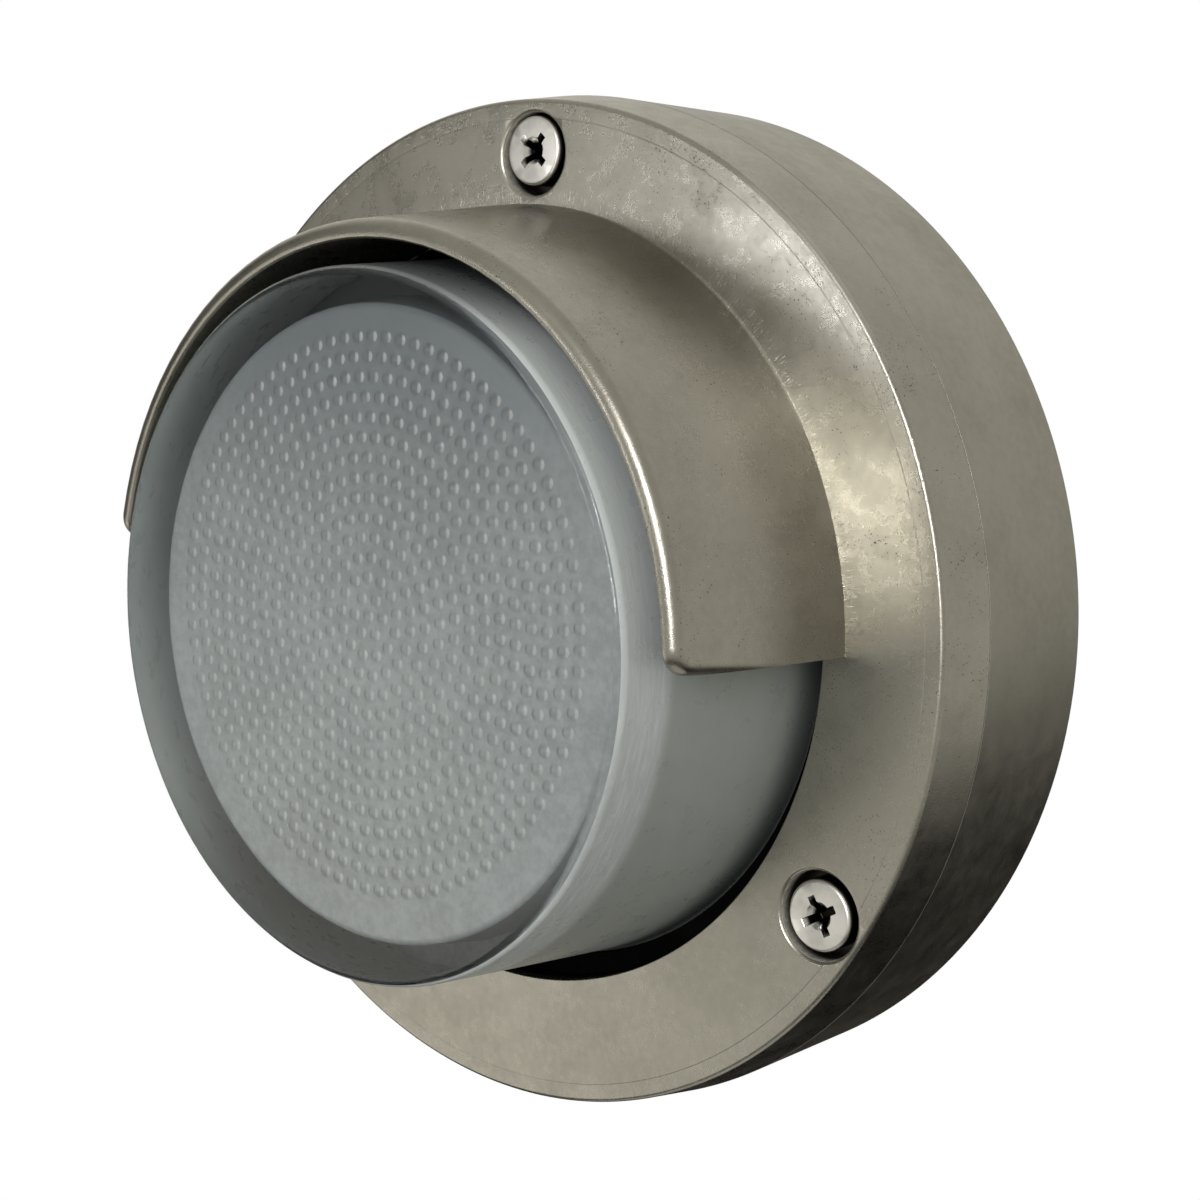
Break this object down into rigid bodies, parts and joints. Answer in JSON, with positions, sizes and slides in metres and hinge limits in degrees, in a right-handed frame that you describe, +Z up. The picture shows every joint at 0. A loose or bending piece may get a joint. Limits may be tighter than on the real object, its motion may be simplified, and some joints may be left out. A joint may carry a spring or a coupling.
{
  "type": "step light",
  "caption": "Round surface-mounted step light: a cast box, a screwed-on face ring with an eyebrow hood, and a thick glass cup stippled inside.",
  "frame": {"origin": "centre of the flat back of the box, on the wall", "axes": "+Z up, -Y out of the wall towards the viewer, +X to the right as seen from the front"},
  "size_m": [0.1294, 0.0575, 0.1294],
  "materials": {
    "face_casting": "cast and turned, satin pewter, fine pits",
    "box_casting": "cast, satin pewter, darker than the face",
    "face_screw_steel": "stainless, worn in the recess",
    "lens_glass": "pressed, smooth outside, stippled inside",
    "gasket_rubber": "matt",
    "grommet_rubber": "matt",
    "plated_steel": "zinc plated sheet",
    "zinc_screws": "zinc plated",
    "holder_ceramic": "unglazed",
    "contact_brass": "plain",
    "reflector_aluminium": "bright spun",
    "block_plastic": "moulded",
    "lead_sleeve": "silicone sleeve",
    "lamp_glass": "clear",
    "pin_metal": "plain drawn",
    "filament_metal": "wound"
  },
  "bodies": {
    "housing": {"back_box": "box_casting", "wall_gasket": "gasket_rubber", "box_gasket": "gasket_rubber", "entry_grommet": "grommet_rubber", "lamp_bracket": "plated_steel", "bracket_screws": "zinc_screws", "lamp_holder": "holder_ceramic", "holder_contacts": "contact_brass", "holder_screws": "zinc_screws", "holder_nuts": "zinc_screws", "reflector": "reflector_aluminium", "terminal_block": "block_plastic", "terminal_barrels": "contact_brass", "terminal_screws": "zinc_screws", "block_screw": "zinc_screws", "lead_left": "lead_sleeve", "lead_right": "lead_sleeve"},
    "lamp": {"lamp_capsule": "lamp_glass", "lamp_pins": "pin_metal", "lamp_filament": "filament_metal"},
    "face": {"hooded_face": "face_casting", "lens": "lens_glass", "lens_gasket": "gasket_rubber", "clamp_ring": "plated_steel", "clamp_screws": "zinc_screws"},
    "screw_top": {"face_screw_top": "face_screw_steel"},
    "screw_right": {"face_screw_right": "face_screw_steel"},
    "screw_left": {"face_screw_left": "face_screw_steel"}
  },
  "joints": [
    {"name": "face_release", "type": "slide", "parent": "housing", "child": "face", "axis": [0, -1, 0], "range_m": [0, 0.06]},
    {"name": "lamp_pull", "type": "slide", "parent": "housing", "child": "lamp", "axis": [0, -1, 0], "range_m": [0, 0.0075]},
    {"name": "top_screw_release", "type": "slide", "parent": "face", "child": "screw_top", "axis": [0, -1, 0], "range_m": [0, 0.012]},
    {"name": "right_screw_release", "type": "slide", "parent": "face", "child": "screw_right", "axis": [0, -1, 0], "range_m": [0, 0.012]},
    {"name": "left_screw_release", "type": "slide", "parent": "face", "child": "screw_left", "axis": [0, -1, 0], "range_m": [0, 0.012]}
  ]
}
